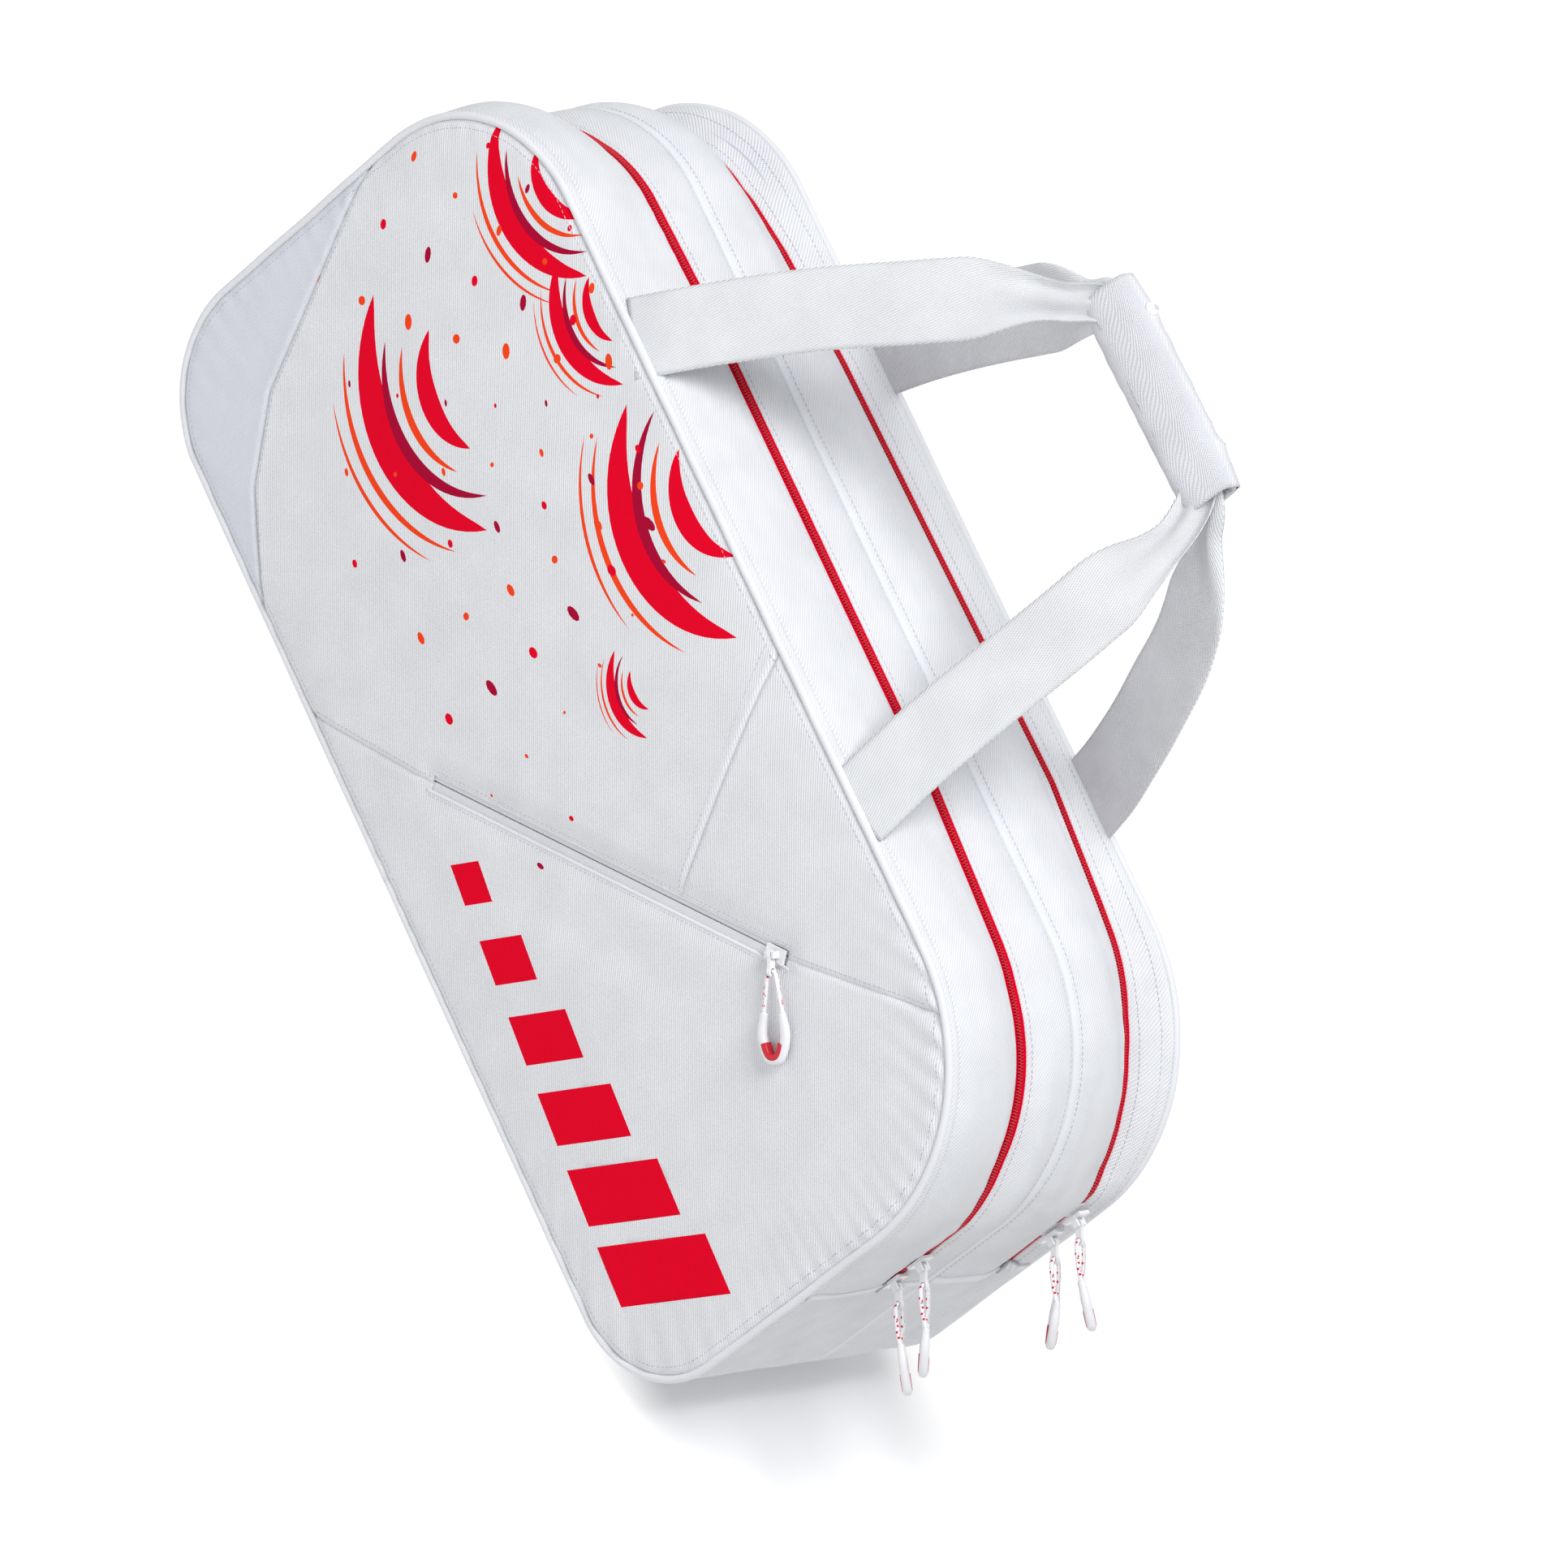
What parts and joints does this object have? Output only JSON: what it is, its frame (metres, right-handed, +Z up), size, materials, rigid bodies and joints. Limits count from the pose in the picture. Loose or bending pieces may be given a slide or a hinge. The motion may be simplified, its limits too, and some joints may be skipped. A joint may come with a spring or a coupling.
{
  "type": "racket backpack",
  "caption": "Soft racket backpack with two zipped compartments, a slanted front pocket, paired carry handles joined by a snap grip, and padded shoulder straps.",
  "frame": {"origin": "middle of the flat spine side that the bag stands on", "axes": "+X along the bag to its bottom end, +Y to the worn side, +Z up through the handles"},
  "size_m": [0.8283, 0.2738, 0.643],
  "materials": {
    "white_twill": "ribbed polyester twill, matt",
    "white_piping": "twill rolled over cord",
    "white_webbing": "flat woven webbing",
    "grip_fabric": "padded twill wrap",
    "strap_mesh": "padded twill over spacer mesh",
    "foam": "lining over closed-cell foam",
    "red_zip": "woven tape with a nylon coil",
    "white_zip": "nylon coil and tape",
    "slider_paint": "white enamel on cast zinc",
    "pull_cord": "braided cord with red flecks",
    "pull_rubber": "soft moulded grip with a red tip",
    "white_plastic": "moulded acetal",
    "snap_metal": "plated brass snap"
  },
  "bodies": {
    "core": {"divider_panel": "foam", "middle_piping": "white_piping", "front_mid_gusset": "white_twill", "rear_mid_gusset": "white_twill", "front_lower_gusset": "white_twill", "rear_lower_gusset": "white_twill", "front_zip_inner": "red_zip", "rear_zip_inner": "red_zip", "zip_end_stops": "white_zip"},
    "front_shell": {"front_panel_main": "white_twill", "front_panel_wedge": "white_twill", "front_panel_triangle": "white_twill", "front_pocket_panel": "white_twill", "front_piping": "white_piping", "front_gusset": "white_twill", "front_foam_board": "foam", "front_zip_outer": "red_zip", "pocket_zip_tape": "white_zip", "pocket_zip_teeth": "white_zip"},
    "rear_shell": {"back_panel": "white_twill", "back_foam_board": "foam", "rear_piping": "white_piping", "rear_gusset": "white_twill", "rear_zip_outer": "red_zip", "strap_anchor_patch": "white_twill"},
    "front_handle": {"front_handle_webbing": "white_webbing"},
    "rear_handle": {"rear_handle_webbing": "white_webbing", "grip_pad": "grip_fabric", "snap_studs": "snap_metal"},
    "flap": {"grip_flap": "grip_fabric", "snap_caps": "white_plastic"},
    "left_strap": {"left_strap_pad": "strap_mesh", "left_ladder_lock": "white_plastic", "left_lower_webbing": "white_webbing"},
    "right_strap": {"right_strap_pad": "strap_mesh", "right_ladder_lock": "white_plastic", "right_lower_webbing": "white_webbing"},
    "front_a_slider": {"front_slider_a": "slider_paint"},
    "front_a_tab": {"front_tab_a": "slider_paint"},
    "front_a_pull": {"front_cord_a": "pull_cord", "front_pull_a": "pull_rubber"},
    "front_b_slider": {"front_slider_b": "slider_paint"},
    "front_b_tab": {"front_tab_b": "slider_paint"},
    "front_b_pull": {"front_cord_b": "pull_cord", "front_pull_b": "pull_rubber"},
    "rear_a_slider": {"rear_slider_a": "slider_paint"},
    "rear_a_tab": {"rear_tab_a": "slider_paint"},
    "rear_a_pull": {"rear_cord_a": "pull_cord", "rear_pull_a": "pull_rubber"},
    "rear_b_slider": {"rear_slider_b": "slider_paint"},
    "rear_b_tab": {"rear_tab_b": "slider_paint"},
    "rear_b_pull": {"rear_cord_b": "pull_cord", "rear_pull_b": "pull_rubber"},
    "pocket_slider_body": {"pocket_slider": "slider_paint"},
    "pocket_tab_body": {"pocket_tab": "slider_paint"},
    "pocket_pull_body": {"pocket_cord": "pull_cord", "pocket_pull": "pull_rubber"}
  },
  "joints": [
    {"name": "front_open", "type": "hinge", "parent": "core", "child": "front_shell", "pos_m": [0, -0.107, 0.001], "axis": [1, 0, 0], "range_deg": [0, 30], "deforming": ["front_lower_gusset"]},
    {"name": "rear_open", "type": "hinge", "parent": "core", "child": "rear_shell", "pos_m": [0, 0.105, 0.001], "axis": [-1, 0, 0], "range_deg": [0, 30], "deforming": ["rear_lower_gusset"]},
    {"name": "front_handle_swing", "type": "hinge", "parent": "front_shell", "child": "front_handle", "pos_m": [0, -0.113, 0.3695], "axis": [1, 0, 0], "range_deg": [0, 185]},
    {"name": "rear_handle_swing", "type": "hinge", "parent": "rear_shell", "child": "rear_handle", "pos_m": [0, 0.107, 0.3695], "axis": [-1, 0, 0], "range_deg": [0, 115]},
    {"name": "grip_flap_open", "type": "hinge", "parent": "rear_handle", "child": "flap", "pos_m": [0.024, 0.0032, 0.598], "axis": [1, 0, 0], "range_deg": [0, 140], "deforming": ["grip_flap"]},
    {"name": "left_strap_lift", "type": "hinge", "parent": "rear_shell", "child": "left_strap", "pos_m": [-0.292, 0.1133, 0.22], "axis": [0, 0, 1], "range_deg": [0, 25], "deforming": ["left_lower_webbing"]},
    {"name": "right_strap_lift", "type": "hinge", "parent": "rear_shell", "child": "right_strap", "pos_m": [-0.292, 0.1133, 0.148], "axis": [0, 0, 1], "range_deg": [0, 25], "deforming": ["right_lower_webbing"]},
    {"name": "front_a_slide", "type": "slide", "parent": "core", "child": "front_a_slider", "axis": [0, 0, 1], "range_m": [0, 0.004]},
    {"name": "front_a_tab_swing", "type": "hinge", "parent": "front_a_slider", "child": "front_a_tab", "pos_m": [0.3854, -0.032, 0.176], "axis": [0, 1, 0], "range_deg": [0, 40]},
    {"name": "front_a_pull_swing", "type": "hinge", "parent": "front_a_tab", "child": "front_a_pull", "pos_m": [0.39406, -0.032, 0.171], "axis": [0, 1, 0], "range_deg": [0, 25]},
    {"name": "front_b_slide", "type": "slide", "parent": "core", "child": "front_b_slider", "axis": [0, 0, 1], "range_m": [0, 0.034]},
    {"name": "front_b_tab_swing", "type": "hinge", "parent": "front_b_slider", "child": "front_b_tab", "pos_m": [0.3854, -0.032, 0.2], "axis": [0, 1, 0], "range_deg": [-45, 0]},
    {"name": "front_b_pull_swing", "type": "hinge", "parent": "front_b_tab", "child": "front_b_pull", "pos_m": [0.39406, -0.032, 0.195], "axis": [0, 1, 0], "range_deg": [-25, 0]},
    {"name": "rear_a_slide", "type": "slide", "parent": "core", "child": "rear_a_slider", "axis": [0, 0, 1], "range_m": [0, 0.006]},
    {"name": "rear_a_tab_swing", "type": "hinge", "parent": "rear_a_slider", "child": "rear_a_tab", "pos_m": [0.3854, 0.079, 0.21], "axis": [0, 1, 0], "range_deg": [0, 40]},
    {"name": "rear_a_pull_swing", "type": "hinge", "parent": "rear_a_tab", "child": "rear_a_pull", "pos_m": [0.39406, 0.079, 0.205], "axis": [0, 1, 0], "range_deg": [-25, 0]},
    {"name": "rear_b_travel", "type": "hinge", "parent": "core", "child": "rear_b_slider", "pos_m": [0.249, 0.079, 0.237], "axis": [0, -1, 0], "range_deg": [0, 8]},
    {"name": "rear_b_tab_swing", "type": "hinge", "parent": "rear_b_slider", "child": "rear_b_tab", "pos_m": [0.3854, 0.079, 0.234], "axis": [0, 1, 0], "range_deg": [-45, 0]},
    {"name": "rear_b_pull_swing", "type": "hinge", "parent": "rear_b_tab", "child": "rear_b_pull", "pos_m": [0.39406, 0.079, 0.229], "axis": [0, 1, 0], "range_deg": [-25, 0]},
    {"name": "pocket_slide", "type": "slide", "parent": "front_shell", "child": "pocket_slider_body", "axis": [-0.7647, 0, -0.6443], "range_m": [0, 0.285]},
    {"name": "pocket_tab_swing", "type": "hinge", "parent": "pocket_slider_body", "child": "pocket_tab_body", "pos_m": [0.19712, -0.1151, 0.2652], "axis": [0.5, 0, 0.866], "range_deg": [-110, 0]},
    {"name": "pocket_pull_swing", "type": "hinge", "parent": "pocket_tab_body", "child": "pocket_pull_body", "pos_m": [0.20578, -0.1151, 0.2602], "axis": [0.5, 0, 0.866], "range_deg": [-40, 0]}
  ]
}
